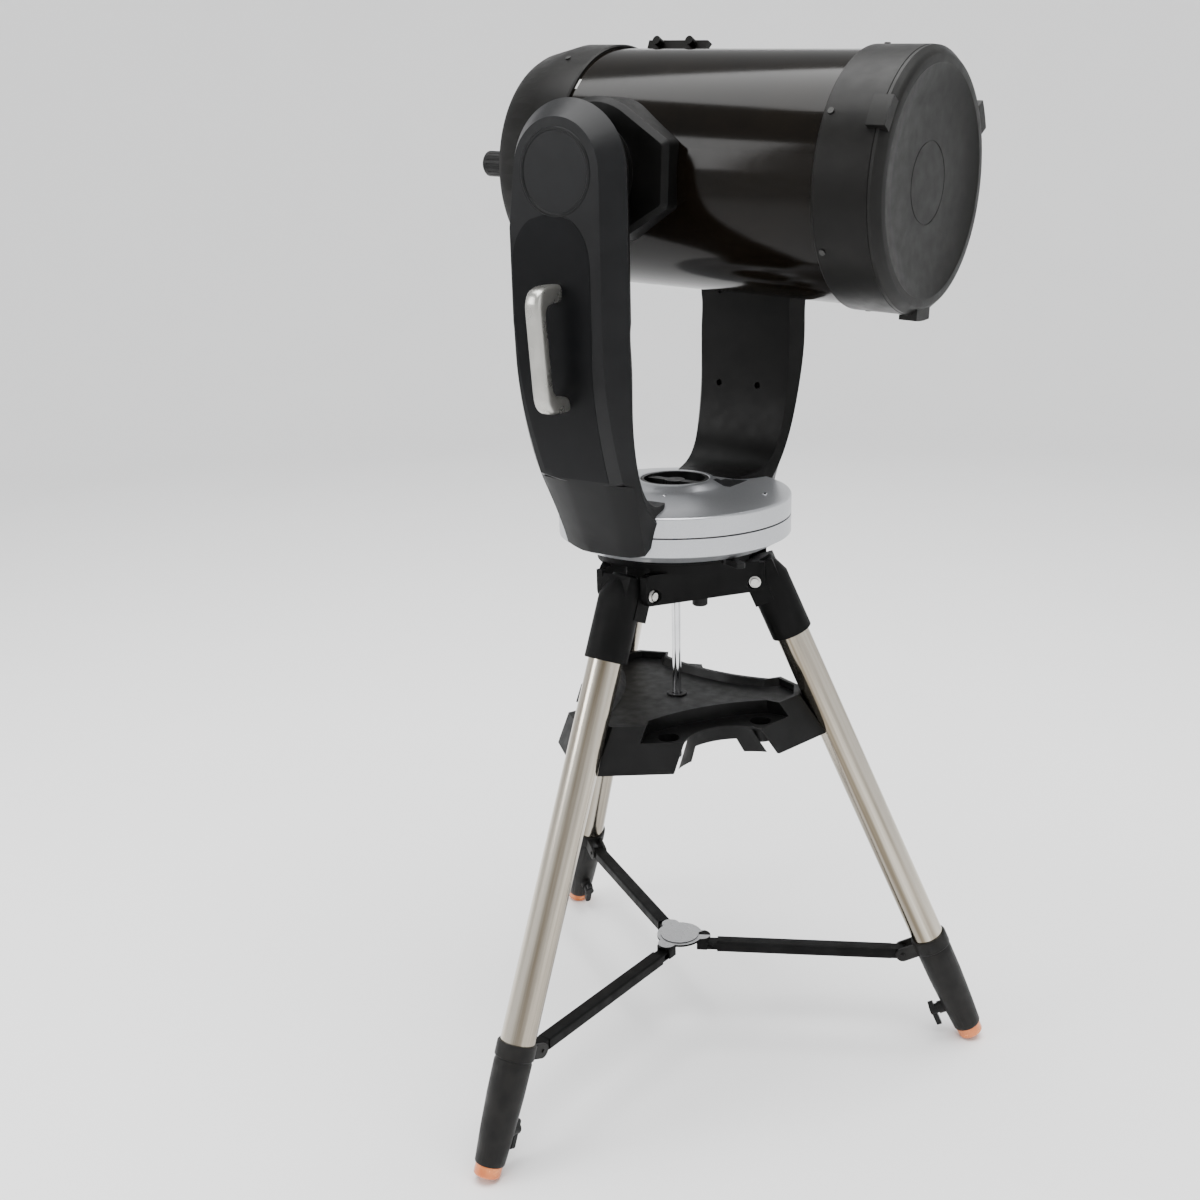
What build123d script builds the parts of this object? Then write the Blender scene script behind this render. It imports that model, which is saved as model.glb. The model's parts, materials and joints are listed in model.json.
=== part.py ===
"""Schmidt-Cassegrain telescope on a motorised fork mount and a field tripod.

Millimetres.  +Z is up and the floor is Z = 0.  The origin is the point on the floor under
the azimuth axis, and the azimuth axis is the Z axis.  The altitude axis runs along Y, and the
optical tube points towards +X with its nose slightly down.
"""
from build123d import *
import os
from math import atan2, cos, degrees, hypot, radians, sin

os.makedirs("parts", exist_ok=True)

# ------------------------------------------------------------------ driving dimensions
GAP = 0.3                    # space kept between bodies that move past each other
FIT = 0.05                   # radial clearance of a running fit
SEAM = 0.3                   # joint line between an arm's casting and its cover

# optical tube (axial places are measured from the altitude axis, + towards the front)
APERTURE_R = 139.7           # 11 inch clear aperture
TUBE_R = 159.0
TUBE_WALL = 2.0
TUBE_REAR_X = -84.0
TUBE_FRONT_X = 326.0
NOSE_DOWN = 2.852            # tilt of the tube at rest, degrees
ALT_Z = 1368.9               # height of the altitude axis
FRONT_CELL_R = 165.0
FRONT_CELL_X = (308.0, 383.0)
REAR_CELL_R = 164.0
REAR_CELL_X = (-80.0, -192.0)
CORRECTOR_X = FRONT_CELL_X[1] - 26.0
PORT_BORE_R = 15.9           # takes a 1.25 inch (31.75 mm) barrel
BAFFLE_R = 27.0
FOCUS_YZ = (-68.0, -2.0)     # focus knob, in the tube's frame
FOCUS_SHAFT_R = 6.7
FINDER_ANGLE = -22.0         # finder shoe, degrees from the top towards the far side
LUG_ANGLES = (30, 150, 270)

# fork
ARM_IN_Y = 214.0             # inner face of an arm
ARM_RIDGE_Y = 238.0          # widest place of an arm, where the outer cover meets the casting
ARM_OUT_Y = 268.0            # outer face of an arm
ARM_R = (75.0, 90.0, 67.0)   # half width at the inner face, the ridge and the outer face
COVER_WALL = 3.0
DRUM_R = 62.0                # round hub between the tube's side plate and the arm
TRUNNION_R = 20.0
HANDLE_X = -7.0
HANDLE_Z = (1065.0, 1231.0)

# worm drives
ALT_WHEEL_R = 58.0
ALT_WHEEL_Y = (242.0, 250.0)
AZ_WHEEL_R = 98.0
AZ_WHEEL_Z = (850.0, 858.0)
WORM_R = 7.0
WORM_GAP = 0.6               # between the plain wheel rim and the worm
WORM_PITCH = 4.5

# base
BASE_R = 174.0
BASE_SEAM_Z = 878.4
BASE_BAND_Z = 851.5
BASE_BOTTOM_Z = 838.0
BASE_WALL = 4.0
HEAD_TOP_Z = 826.0
SPINDLE_R = 30.0
BEARING_R = 46.0
CLUTCH_XY = (128.0, -60.0)   # pivot of the azimuth clutch lever
CLUTCH_Z = (829.0, 837.0)
PANEL_Z = 865.0

# tripod
LEG_AZIMUTHS = {"a": -92.378, "b": 27.622, "c": 147.622}
LEG_SPLAY = 23.762           # angle of a leg from the vertical, degrees
LEG_FOOT_R = 476.1           # where the leg's axis passes LEG_FOOT_Z
LEG_FOOT_Z = 12.0
LEG_TUBE_R = 25.4            # 2 inch stainless tube
LEG_TUBE_WALL = 1.5
LEG_TUBE_D = (122.0, 800.0)  # along the leg from the foot point
HINGE_R = 122.0
HINGE_Z = 782.0
HEAD_BOTTOM_Z = 768.0
EAR_ROUND_R = 14.0           # rounded end of an ear, about the leg's hinge
EAR_IN, EAR_OUT = 34.0, 45.0
HINGE_BOLT_R = 4.95
SLEEVE_R = 31.5
CLAMP_D = 55.0               # clamp screw, along the leg
INNER_LEG_R = 19.0
MOUNT_BOLT_R = 85.0
MOUNT_BOLT_AZIMUTHS = [a + 60.0 for a in LEG_AZIMUTHS.values()]
ROD_R = 6.75
ROD_BOTTOM_Z = 478.0
TRAY_LIP_Z = 597.0
TRAY_FLOOR_Z = 586.0
TRAY_SHELF_Z = 575.0
TRAY_SKIRT_Z = 535.0
BAR_Z = 150.0
BAR_OUT_R = 362.0            # pivot of a spreader bar at the leg
BAR_IN_R = 38.0              # pivot of a spreader bar at the hub
BAR_HALF = 9.0               # half width of a bar's ends
PIN_R = 2.95
SLOT_LENGTH = 13.0
TIP_R = 20.0
TIP_FILLET = 4.0
TIP_TOP_D = 11.6
# the rounded edge of the tilted tip just touches the floor
TIP_BOTTOM_D = ((TIP_R - TIP_FILLET) * sin(radians(LEG_SPLAY)) + TIP_FILLET - LEG_FOOT_Z) / cos(
    radians(LEG_SPLAY)) - TIP_FILLET
TRAY_FACE_TURN = 38.4        # direction of the tray's slanted end faces, from the leg's azimuth
TRAY_HOLE_R = 16.0           # eyepiece holes in the tray
TRAY_HOLE_PLACE = (154.0, 30.5)
TRAY_CUP_DEPTH = 23.0        # the holes are blind cups
ARCH_HALF = (46.0, 34.0)     # half width of the arch in a bay's skirt, at its foot and its top


# ------------------------------------------------------------------ helpers
def cyl_z(r, z0, z1, x=0.0, y=0.0):
    """Cylinder along Z between two heights."""
    return Pos(x, y, min(z0, z1)) * Cylinder(r, abs(z1 - z0), align=(Align.CENTER, Align.CENTER, Align.MIN))


def ring_z(r_out, r_in, z0, z1, x=0.0, y=0.0):
    return cyl_z(r_out, z0, z1, x, y) - cyl_z(r_in, min(z0, z1) - 1, max(z0, z1) + 1, x, y)


def cyl_y(r, y0, y1, x=0.0, z=0.0):
    """Cylinder along Y between two places."""
    return Pos(x, min(y0, y1), z) * Rot(-90, 0, 0) * Cylinder(
        r, abs(y1 - y0), align=(Align.CENTER, Align.CENTER, Align.MIN))


def cyl_x(r, x0, x1, y=0.0, z=0.0):
    """Cylinder along X between two places."""
    return Pos(min(x0, x1), y, z) * Rot(0, 90, 0) * Cylinder(
        r, abs(x1 - x0), align=(Align.CENTER, Align.CENTER, Align.MIN))


def block(x0, x1, y0, y1, z0, z1):
    """Box between two corners."""
    size = (abs(x1 - x0), abs(y1 - y0), abs(z1 - z0))
    return Pos((x0 + x1) / 2, (y0 + y1) / 2, (z0 + z1) / 2) * Box(*size)


def turned_x(points):
    """Solid turned about the X axis from (x, r) points."""
    face = make_face(Polyline(*[(x, 0.0, r) for x, r in points], close=True))
    return revolve(face, Axis.X)


def turned_z(points):
    """Solid turned about the Z axis from (r, z) points."""
    face = make_face(Polyline(*[(r, 0.0, z) for r, z in points], close=True))
    return revolve(face, Axis.Z)


def polar(r, angle):
    return r * cos(radians(angle)), r * sin(radians(angle))


def save(name, *solids):
    """Write one node; several solids become one group."""
    parts = [s for shape in solids for s in shape.solids()]
    shape = parts[0] if len(parts) == 1 else Compound(children=parts)
    shape.label = name
    export_step(shape, f"parts/{name}.step")


def tube_place(shape):
    """From the tube's own frame, +X along the optical axis, to the model's frame."""
    return Pos(0, 0, ALT_Z) * Rot(0, NOSE_DOWN, 0) * shape


def leg_place(shape, azimuth):
    """From the leg's own frame, +Z up the leg and +X outwards, to the model's frame."""
    return Rot(0, 0, azimuth) * Pos(LEG_FOOT_R, 0, LEG_FOOT_Z) * Rot(0, -LEG_SPLAY, 0) * shape


def leg_local(r, z):
    """A point (radius, height) in a leg's vertical plane, in the leg's own frame (x, z)."""
    c, s = cos(radians(LEG_SPLAY)), sin(radians(LEG_SPLAY))
    return (r - LEG_FOOT_R) * c + (z - LEG_FOOT_Z) * s, -(r - LEG_FOOT_R) * s + (z - LEG_FOOT_Z) * c


# ------------------------------------------------------------------ optical tube assembly
def optical_tube():
    tube = cyl_x(TUBE_R, TUBE_REAR_X, TUBE_FRONT_X)
    tube -= cyl_x(TUBE_R - TUBE_WALL, TUBE_REAR_X - 1, TUBE_FRONT_X + 1)
    for angle in range(0, 360, 60):
        tube -= Rot(angle, 0, 0) * cyl_z(2.2, 150, 170, FRONT_CELL_X[0] + 10)
    save("optical_tube", tube_place(tube))


def front_cell():
    x0, x1 = FRONT_CELL_X
    seat = CORRECTOR_X - 7.0
    cell = turned_x([
        (x0, TUBE_R), (x0, FRONT_CELL_R - 1.5), (x0 + 1.5, FRONT_CELL_R), (x1 - 1.0, FRONT_CELL_R),
        (x1, FRONT_CELL_R - 1.0), (x1, 150.0), (CORRECTOR_X, 150.0), (CORRECTOR_X, APERTURE_R),
        (seat, APERTURE_R), (seat, 155.0), (TUBE_FRONT_X, 155.0), (TUBE_FRONT_X, TUBE_R)])
    for angle in range(0, 360, 60):
        cell -= Rot(angle, 0, 0) * cyl_z(2.2, 150, FRONT_CELL_R + 1, x0 + 10)
    save("front_cell", tube_place(cell))


def corrector_plate():
    x = CORRECTOR_X
    plate = cyl_x(143.5, x, x + 5.0) - cyl_x(34.0, x - 1, x + 6)
    save("corrector_plate", tube_place(plate))


def secondary_mirror():
    """Holder clamped through the corrector plate, with the secondary mirror's cell behind it."""
    x = CORRECTOR_X
    holder = cyl_x(33.9, x, x + 5.0)
    holder += cyl_x(48.0, x + 5.0, x + 13.0)
    holder += cyl_x(44.0, x - 6.0, x)
    holder += cyl_x(40.0, x - 30.0, x - 6.0)
    mirror = cyl_x(36.0, x - 36.0, x - 30.0)
    for angle in (90, 210, 330):
        y, z = polar(26.0, angle)
        holder -= cyl_x(2.5, x + 9.0, x + 14.0, y, z)
    save("secondary_mirror", tube_place(holder), tube_place(mirror))


def baffle_tube():
    tube = cyl_x(BAFFLE_R, -196.0, 120.0) - cyl_x(24.5, -197.0, 121.0)
    save("baffle_tube", tube_place(tube))


def primary_mirror():
    """Primary mirror in its carrier, which slides on the baffle tube."""
    glass = cyl_x(142.0, -112.0, -90.0) - cyl_x(36.0, -113.0, -89.0)
    dish = Pos(-92.0 + 1560.0, 0, 0) * Sphere(1560.0 + 1.0)
    glass -= dish
    carrier = cyl_x(35.9, -136.0, -86.0) - cyl_x(BAFFLE_R + FIT, -137.0, -85.0)
    carrier += cyl_x(90.0, -118.0, -112.0) - cyl_x(BAFFLE_R + FIT, -119.0, -111.0)
    save("primary_mirror", tube_place(glass + carrier))


def rear_cell():
    lip_x, back_x = REAR_CELL_X
    outer = turned_x([
        (lip_x, 0), (lip_x, REAR_CELL_R - 2.0), (lip_x - 2.0, REAR_CELL_R), (-132.0, REAR_CELL_R),
        (-180.0, 153.0), (-188.0, 149.0), (back_x, 141.0), (back_x, 0)])
    inner = turned_x([
        (lip_x + 1.0, 0), (lip_x + 1.0, 150.0), (-130.0, 150.0), (-176.0, 145.0), (-186.0, 138.0),
        (-186.0, 0)])
    cell = outer - inner
    cell -= cyl_x(TUBE_R, -100.0, lip_x + 1.0) - cyl_x(150.0, -101.0, lip_x + 2.0)
    cell += cyl_x(44.0, -200.0, back_x + 5.0)
    boss_y, boss_z = FOCUS_YZ
    cell += cyl_x(36.0, -199.0, back_x + 5.0, boss_y, boss_z)
    cell -= cyl_x(BAFFLE_R, -201.0, -150.0)
    cell -= cyl_x(FOCUS_SHAFT_R + GAP, -206.0, -150.0, boss_y, boss_z)
    for angle in range(30, 390, 60):
        cell -= Rot(angle, 0, 0) * cyl_z(2.2, 150, REAR_CELL_R + 1, -120.0)
    for angle in LUG_ANGLES:
        y, z = polar(112.0, angle)
        cell -= cyl_x(22.0, back_x - 1, -189.0, y, z)
    save("rear_cell", tube_place(cell))


def visual_back():
    """Threaded rear port with the eyepiece holder; its bore takes a 1.25 inch barrel."""
    port = turned_x([
        (-196.0, 24.4), (-196.0, 40.0), (-208.0, 40.0), (-208.0, 30.0), (-214.0, 26.0), (-240.0, 26.0),
        (-240.0, PORT_BORE_R), (-205.0, PORT_BORE_R), (-205.0, 24.4)])
    port -= cyl_z(2.0, 20, 30, -230.0)
    screw = cyl_z(1.9, 20.0, 34.0, -230.0) + cyl_z(5.0, 28.0, 36.0, -230.0)
    save("visual_back", tube_place(Pos(-4.2, 0, 0) * port), tube_place(Pos(-4.2, 0, 0) * screw))


def focus_knob():
    y, z = FOCUS_YZ
    knob = cyl_x(18.0, -273.0, -203.0, y, z)
    knob = chamfer(knob.edges().filter_by(GeomType.CIRCLE).sort_by(Axis.X)[:1], 2.5)
    for i in range(20):
        dy, dz = polar(18.6, i * 18.0)
        knob -= cyl_x(1.4, -264.0, -216.0, y + dy, z + dz)
    knob += cyl_x(FOCUS_SHAFT_R, -203.0, -150.0, y, z)
    save("focus_knob", tube_place(knob))


def lens_cover():
    """Dished front cover with a spigot inside the cell, three grip lugs and a plain ring groove."""
    x = FRONT_CELL_X[1] + GAP
    cover = turned_x([
        (x, 0), (x, 148.0), (x - 10.0, 148.0), (x - 10.0, 149.7), (x, 149.7), (x, FRONT_CELL_R - 0.5),
        (x + 4.0, FRONT_CELL_R - 0.5), (x + 13.0, 156.0), (x + 14.0, 153.0), (x + 14.0, 144.0),
        (x + 12.0, 141.0), (x + 4.5, 107.0), (x + 4.5, 0)])
    cover -= turned_x([(x - 1, 0), (x - 1, 104.0), (x + 2.0, 104.0), (x + 2.0, 0)])
    cover -= turned_x([(x - 1, 152.5), (x + 9.0, 152.5), (x + 6.0, 158.0), (x - 1, 161.0)])
    for angle in LUG_ANGLES:
        lug = block(x - 12.0, x + 13.0, -20.0, 20.0, 156.0, 172.0) & cyl_x(172.0, x - 13.0, x + 14.0)
        lug -= cyl_x(FRONT_CELL_R + GAP, x - 13.0, x)
        lug -= cyl_x(150.5, x - 13.0, x + 14.0)
        cover += Rot(90.0 - angle, 0, 0) * lug
    cover -= cyl_x(52.0, x + 3.7, x + 5.0) - cyl_x(50.4, x + 3.0, x + 6.0)
    save("lens_cover", tube_place(cover))


def side_plate():
    """Bevelled plate that carries the tube, with its round hub and trunnion, near side."""
    with BuildSketch(Plane.XZ) as outline:
        Circle(93.0)
        with Locations(*[(sx * 100.0, sz * 34.0) for sx in (-1, 1) for sz in (-1, 1)]):
            Circle(12.0)
        make_hull()
    plate = extrude(outline.sketch, amount=185.0)
    plate = chamfer(plate.faces().sort_by(Axis.Y)[0].edges(), 7.0)
    plate -= cyl_x(TUBE_R + 0.02, -79.0, 200.0)
    plate -= cyl_x(REAR_CELL_R + 0.3, -200.0, -78.9)
    plate -= block(-200, 200, -130, 200, -200, 200)
    with BuildSketch(Plane.XZ) as pocket:
        Circle(82.0)
        with Locations(*[(sx * 88.0, sz * 26.0) for sx in (-1, 1) for sz in (-1, 1)]):
            Circle(10.0)
        make_hull()
    plate -= extrude(pocket.sketch, amount=174.0)
    plate += cyl_y(DRUM_R, -(ARM_IN_Y - 0.5), -184.0)
    plate += cyl_y(TRUNNION_R, -251.0, -210.0)
    plate -= cyl_y(10.0, -252.0, -170.0)
    return plate


def side_plates():
    plate = side_plate()
    save("side_plates", tube_place(plate), tube_place(mirrored(plate)))


def altitude_wheel():
    """Worm wheel clamped on the far trunnion."""
    wheel = cyl_y(ALT_WHEEL_R, *ALT_WHEEL_Y) - cyl_y(TRUNNION_R, 241.0, 251.0)
    for angle in range(0, 360, 60):
        x, z = polar(39.0, angle)
        wheel -= cyl_y(10.0, 241.0, 251.0, x, z)
    save("altitude_wheel", tube_place(wheel))


def finder_bracket():
    """Dovetail shoe for a finder, on top of the rear cell, with its two thumbscrews."""
    top = REAR_CELL_R
    foot = block(-72.0, 26.0, -20.0, 20.0, TUBE_R - 4.0, TUBE_R + 5.0) - cyl_x(TUBE_R + 0.02, -80.0, 40.0)
    shoe = block(-72.0, 26.0, -24.0, 24.0, TUBE_R + 5.0, TUBE_R + 17.0)
    shoe -= extrude(make_face(Polyline(
        (-73.0, -17.0, top + 3.0), (-73.0, 17.0, top + 3.0), (-73.0, 11.0, top + 13.0),
        (-73.0, -11.0, top + 13.0), close=True)), amount=100.0, dir=(1, 0, 0))
    shape = foot + shoe
    for x in (-50.0, 4.0):
        shape -= cyl_y(2.5, -30.0, -10.0, x, TUBE_R + 11.0)
    screws = [cyl_y(2.5, -30.0, -14.0, x, TUBE_R + 11.0) + cyl_y(6.0, -38.0, -26.0, x, TUBE_R + 11.0)
              for x in (-50.0, 4.0)]
    turn = Rot(FINDER_ANGLE, 0, 0)
    save("finder_bracket", tube_place(turn * shape), *[tube_place(turn * s) for s in screws])


def cell_screws():
    """Screws that hold the front and rear cells on the tube."""
    screws = []
    for x, radius, start in ((FRONT_CELL_X[0] + 10.0, FRONT_CELL_R, 0), (-120.0, REAR_CELL_R, 30)):
        for angle in range(start, start + 360, 60):
            screw = cyl_z(2.1, TUBE_R - 6.0, radius + 1.0, x) + cyl_z(4.0, radius + 0.06, radius + 1.7, x)
            screws.append(tube_place(Rot(angle, 0, 0) * screw))
    save("cell_screws", *screws)


# ------------------------------------------------------------------ fork
# Stations down the curved part of an arm:
# (inner y, z), (outer y, z), half widths at the inner face, the ridge and the outer face.
ARM_BEND_Z = 1180.0
ARM_WIDE_Z = 1300.0          # up to here the rear of the arm is wider than the front
ARM_REAR_EXTRA = 10.0
POCKET_FLOOR_Z = 962.0       # the cover is solid below this
ARM_STATIONS = [
    ((ARM_IN_Y, ARM_BEND_Z), (ARM_OUT_Y, ARM_BEND_Z), (75.0, 90.0, 67.0)),
    ((214.0, 1125.0), (265.5, 1125.0), (75.0, 89.0, 66.5)),
    ((213.0, 1070.0), (257.0, 1070.0), (74.0, 87.0, 66.0)),
    ((206.5, 1012.0), (241.5, 1015.0), (72.0, 83.0, 65.0)),
    ((191.0, 962.0), (222.5, 962.0), (70.0, 79.0, 64.0)),
    ((165.0, 930.0), (203.0, 914.0), (66.0, 75.0, 63.0)),
    ((132.0, 918.0), (189.0, 878.0), (60.0, 73.0, 62.0)),
    ((97.0, 915.0), (181.0, 850.0), (46.0, 70.0, 61.0)),
]
RIDGE = (ARM_RIDGE_Y - ARM_IN_Y) / (ARM_OUT_Y - ARM_IN_Y)
# Radius and height of the outside of an arm's foot, which curves round the base.
FOOT_WRAP = [(183.0, 845.0), (183.0, 852.0), (191.0, 878.0), (205.0, 914.0), (224.5, POCKET_FLOOR_Z),
             (300.0, 1010.0), (300.0, 1500.0)]


def station_face(station, part, inset=0.0, rear=ARM_REAR_EXTRA):
    """Four-cornered section of the casting or of the cover at one station of the arm."""
    (yi, zi), (yo, zo), (wi, wr, wo) = station
    length = hypot(yo - yi, zo - zi)
    yr, zr = yi + RIDGE * (yo - yi), zi + RIDGE * (zo - zi)
    if part == "casting":
        a, b, wa, wb = (yi, zi), (yr, zr), wi, wr
    else:
        outer = (yo - inset * (yo - yi) / length, zo - inset * (zo - zi) / length)
        shift = -2.0 if inset else SEAM
        seam = (yr + shift * (yo - yi) / length, zr + shift * (zo - zi) / length)
        a, b, wa, wb = seam, outer, wr, wo
    points = [(-wa - rear + inset, *a), (wa - inset, *a), (wb - inset, *b), (-wb - rear + inset, *b)]
    return make_face(Polyline(*points, close=True))


def arm_part(part, inset=0.0):
    """One arm's casting or cover on the +Y side: straight limb, curved limb and round top."""
    limb = loft([station_face(s, part, inset) for s in ARM_STATIONS])
    limb += extrude(
        station_face(ARM_STATIONS[0], part, inset), amount=ARM_WIDE_Z - ARM_BEND_Z, dir=(0, 0, 1))
    limb += loft([
        Pos(0, 0, ARM_WIDE_Z - ARM_BEND_Z) * station_face(ARM_STATIONS[0], part, inset),
        Pos(0, 0, ALT_Z - ARM_BEND_Z) * station_face(ARM_STATIONS[0], part, inset, 0.0)], ruled=True)
    wi, wr, wo = ARM_R
    if part == "casting":
        profile = [(0, ARM_IN_Y), (wi, ARM_IN_Y), (wr, ARM_RIDGE_Y), (0, ARM_RIDGE_Y)]
    else:
        y_out = ARM_OUT_Y - inset
        y_in = ARM_RIDGE_Y - 2.0 if inset else ARM_RIDGE_Y + SEAM
        profile = [(0, y_in), (wr - inset, y_in), (wo - inset, y_out), (0, y_out)]
    face = make_face(Polyline(*[(x, y, ALT_Z) for x, y in profile], close=True))
    return limb + revolve(face, Axis((0, 0, ALT_Z), (0, 1, 0)), 360)


def mirrored(shape):
    """The same piece on the other side of the tube."""
    return mirror(shape, about=Plane.XZ)


BASE_COVER_LINE = [
    (0, 929.0), (57.0, 929.0), (64.0, 925.0), (74.0, 918.5), (98.0, 914.0), (135.0, 911.0),
    (168.0, 909.6), (172.0, 908.6), (BASE_R, 906.0)]


def base_envelope():
    """Outer shape of the rotating base, which the feet of the arms fit over."""
    return turned_z(BASE_COVER_LINE + [(BASE_R, BASE_BAND_Z), (150.0, BASE_BOTTOM_Z), (0, BASE_BOTTOM_Z)])


def arms():
    envelope = base_envelope()
    below = block(-200, 200, 0, 300, 700, BASE_BAND_Z + 0.5)
    wrap = turned_z([(0, FOOT_WRAP[0][1])] + FOOT_WRAP + [(0, FOOT_WRAP[-1][1])])
    casting = (arm_part("casting") & wrap) - envelope - below
    casting -= cyl_y(TRUNNION_R + 9.0, 205.0, 233.0, 0, ALT_Z)
    casting -= cyl_y(TRUNNION_R + GAP, 205.0, 260.0, 0, ALT_Z)
    for x, z in ((-50.0, 1185.0), (45.0, 1185.0), (-50.0, 1040.0), (20.0, 1040.0)):
        casting -= cyl_y(5.0, 205.0, 219.0, x, z)
    cover = (arm_part("cover") & wrap) - envelope - below
    cover -= arm_part("cover", COVER_WALL) - block(-200, 200, 0, 300, 700, POCKET_FLOOR_Z)
    save("arm_far", casting)
    save("arm_near", mirrored(casting))
    save("arm_cover_near", mirrored(cover))
    save("arm_cover_far", cover - cyl_y(12.0 + GAP, 255.0, 275.0, 0, ALT_Z))


def carry_handles():
    """Cast grips bridging two feet on each outer cover."""
    low, high = HANDLE_Z
    path = [(250.0, high), (304.0, high), (319.0, high - 17.0), (308.0, low + 17.0), (293.0, low),
            (245.0, low), (245.0, low + 20.0), (283.0, low + 24.0), (289.0, low + 32.0),
            (299.0, high - 36.0), (293.0, high - 26.0), (250.0, high - 22.0)]
    outline = Polyline(*[(HANDLE_X, y, z) for y, z in path], close=True)
    grip = extrude(make_face(outline), amount=12.0, both=True)
    grip = fillet(grip.edges().filter_by(Axis.X).filter_by_position(Axis.Y, 282.0, 330.0), 5.0)
    grip -= arm_part("cover")
    save("carry_handles", grip, mirrored(grip))


def bearings():
    """Altitude bearings in the arms and the azimuth bearing around the spindle."""
    solids = [ring_z(BEARING_R, SPINDLE_R + 0.06, BASE_BOTTOM_Z + 1.0, BASE_BOTTOM_Z + 9.0)]
    for side in (-1, 1):
        solids.append(cyl_y(TRUNNION_R + 9.0, side * 216.0, side * 232.0, 0, ALT_Z)
                      - cyl_y(TRUNNION_R + FIT, side * 215.0, side * 233.0, 0, ALT_Z))
    save("bearings", *solids)


def worm_shape(y, z, shaft_x):
    """Worm along X with its shaft."""
    worm = cyl_x(WORM_R, -16.0, 16.0, y, z) + cyl_x(3.0, *shaft_x, y, z)
    for i in range(-3, 4):
        x = i * WORM_PITCH
        worm -= cyl_x(WORM_R + 1.0, x - 0.9, x + 0.9, y, z) - cyl_x(WORM_R - 1.4, x - 1, x + 1, y, z)
    return worm


def altitude_worm():
    """Worm under the altitude wheel in the far arm."""
    z = ALT_Z - ALT_WHEEL_R - WORM_R - WORM_GAP
    save("altitude_worm", worm_shape(sum(ALT_WHEEL_Y) / 2, z, (-26.0, 30.0)))


def drive_motors():
    """Gear motors of the two worm drives: altitude in the far arm, azimuth in the base."""
    z = ALT_Z - ALT_WHEEL_R - WORM_R - WORM_GAP
    altitude = block(30.4, 58.0, 239.0, 261.0, z - 50.0, z + 8.0)
    altitude += cyl_z(10.0, z - 95.0, z - 50.0, 46.0, 250.0)
    azimuth = block(-62.0, -26.4, -122.0, -102.0, BASE_BOTTOM_Z + 7.0, 886.0)
    azimuth += cyl_x(11.0, -92.0, -62.0, -112.0, 874.0)
    save("drive_motors", altitude, azimuth)


def altitude_clutch():
    """Clutch knob of the altitude axis on the outside of the far arm."""
    knob = cyl_y(26.0, ARM_OUT_Y + 1.0, ARM_OUT_Y + 17.0, 0, ALT_Z)
    for i in range(8):
        x, z = polar(30.0, i * 45.0)
        knob -= cyl_y(7.0, ARM_OUT_Y, ARM_OUT_Y + 20.0, x, ALT_Z + z)
    knob += cyl_y(12.0, 252.0, ARM_OUT_Y + 1.0, 0, ALT_Z)
    save("altitude_clutch", knob)


# ------------------------------------------------------------------ base
def base_cover():
    outer = turned_z(BASE_COVER_LINE + [(BASE_R, BASE_SEAM_Z + 1.0), (0, BASE_SEAM_Z + 1.0)])
    inner = turned_z([(0, 925.0), (57.0, 925.0), (74.0, 914.5), (98.0, 910.0), (135.0, 907.0),
                      (166.0, 905.0), (BASE_R - BASE_WALL, 902.0), (BASE_R - BASE_WALL, BASE_SEAM_Z),
                      (0, BASE_SEAM_Z)])
    cover = outer - inner - cyl_z(51.5, 900, 940)
    save("base_cover", cover)


def centre_cap():
    """Dark dished cap in the middle of the base, with a cross bar."""
    cap = cyl_z(51.2, 900.0, 928.5) - cyl_z(46.0, 912.0, 930.0) - cyl_z(48.0, 899.0, 906.0)
    bar = block(-47.0, 47.0, -7.0, 7.0, 911.0, 926.0) & cyl_z(46.5, 905, 930)
    save("centre_cap", cap + bar + cyl_z(15.0, 911.0, 926.5))


def base_shell():
    """Lower casting of the rotating base: floor, bearing seat, band and bevelled underside."""
    shell = turned_z([
        (BEARING_R, BASE_BOTTOM_Z), (150.0, BASE_BOTTOM_Z), (BASE_R, BASE_BAND_Z),
        (BASE_R, BASE_SEAM_Z - 1.0), (BASE_R - 6.0, BASE_SEAM_Z - 1.0), (BASE_R - 6.0, BASE_BAND_Z + 5.0),
        (148.0, BASE_BOTTOM_Z + 7.0),
        (BEARING_R + 8.0, BASE_BOTTOM_Z + 7.0), (BEARING_R + 8.0, BASE_BOTTOM_Z + 10.0),
        (BEARING_R, BASE_BOTTOM_Z + 10.0)])
    shell -= block(-BASE_R - 5, -150.0, -44.0, 44.0, 856.0, 874.0)
    shell -= cyl_z(5.0 + FIT, 830.0, 850.0, *CLUTCH_XY)
    save("base_shell", shell)


def port_panel():
    """Rear connector panel: power inlet, handset and accessory sockets, switch opening."""
    panel = block(-172.0, -166.0, -43.8, 43.8, 856.2, 873.8)
    panel -= cyl_x(5.0, -175.0, -160.0, -33.0, PANEL_Z)
    for y in (-16.0, 2.0):
        panel -= block(-175.0, -168.5, y - 6.0, y + 6.0, 860.0, 870.0)
    panel -= block(-175.0, -160.0, 18.0, 34.0, 858.5, 871.5)
    inlet = cyl_x(1.2, -171.0, -160.0, -33.0, PANEL_Z)
    inlet += cyl_x(5.0, -166.0, -158.0, -33.0, PANEL_Z)
    save("port_panel", panel, inlet)


def power_switch():
    rocker = cyl_y(7.0, 18.6, 33.4, -166.5, PANEL_Z) & block(-180, -160, 18, 34, 860.0, 870.0)
    save("power_switch", rocker)


def azimuth_clutch():
    """Lever under the rim that frees the base to be turned by hand."""
    arm = Rot(0, 0, -25.0) * block(128.0, 178.0, -7.0, 7.0, *CLUTCH_Z)
    arm = fillet(arm.edges().filter_by(Axis.Z), 5.0)
    boss = cyl_z(9.0, *CLUTCH_Z, *CLUTCH_XY) + cyl_z(5.0, CLUTCH_Z[0], 850.0, *CLUTCH_XY)
    save("azimuth_clutch", arm + boss)


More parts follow.
